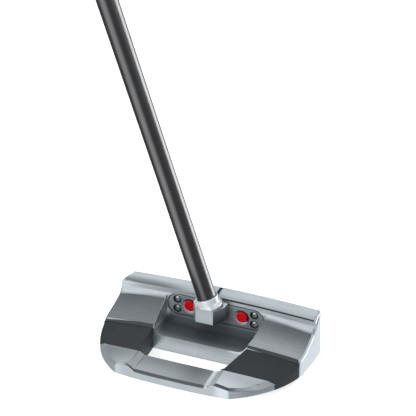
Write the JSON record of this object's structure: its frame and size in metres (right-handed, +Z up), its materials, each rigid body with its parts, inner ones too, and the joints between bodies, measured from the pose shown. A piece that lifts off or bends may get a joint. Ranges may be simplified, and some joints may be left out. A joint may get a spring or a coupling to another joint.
{
  "type": "mallet putter",
  "caption": "Mallet putter with an open black mid frame, steel face body and rear flange, bolted plate with hosel block, smoked shaft and pistol grip.",
  "frame": {"origin": "middle of the flat of the black sole plate under the head, on the ground when the putter stands at address", "axes": "+X from heel to toe along the face, +Y towards the target, +Z up. The shaft leans towards the heel (-X) at the lie angle."},
  "size_m": [0.3388, 0.0645, 0.8209],
  "materials": {
    "satin_steel": "bead-blasted satin stainless steel",
    "black_aluminium": "matte black anodised",
    "red_aluminium": "bright red anodised",
    "screw_steel": "polished stainless screws",
    "face_aluminium": "fine milled face",
    "gasket_rubber": "matte black",
    "black_paint": "paint filled groove",
    "weight_steel": "turned stainless steel",
    "smoked_steel": "smoked grey polished plating",
    "tape_paper": "plain paper tape",
    "grip_rubber": "matte black with a fine raised mesh"
  },
  "bodies": {
    "root": {"front_body": "satin_steel", "core_frame": "black_aluminium", "rear_flange": "satin_steel", "neck_plate": "satin_steel", "neck_bolt_heel": "red_aluminium", "neck_bolt_toe": "red_aluminium", "insert_screw_heel_upper": "screw_steel", "insert_screw_heel_lower": "screw_steel", "insert_screw_toe_upper": "screw_steel", "insert_screw_toe_lower": "screw_steel", "face_insert": "face_aluminium", "damping_gasket": "gasket_rubber", "sight_line": "black_paint", "sole_weight_heel": "weight_steel", "sole_weight_toe": "weight_steel", "core_screw_heel_a": "screw_steel", "core_screw_heel_b": "screw_steel", "core_screw_toe_a": "screw_steel", "core_screw_toe_b": "screw_steel", "flange_screw_heel_a": "screw_steel", "flange_screw_heel_b": "screw_steel", "flange_screw_toe_a": "screw_steel", "flange_screw_toe_b": "screw_steel", "shaft": "smoked_steel", "shaft_tip_plug": "gasket_rubber", "grip_tape": "tape_paper", "grip": "grip_rubber", "grip_cap": "grip_rubber"}
  },
  "joints": []
}
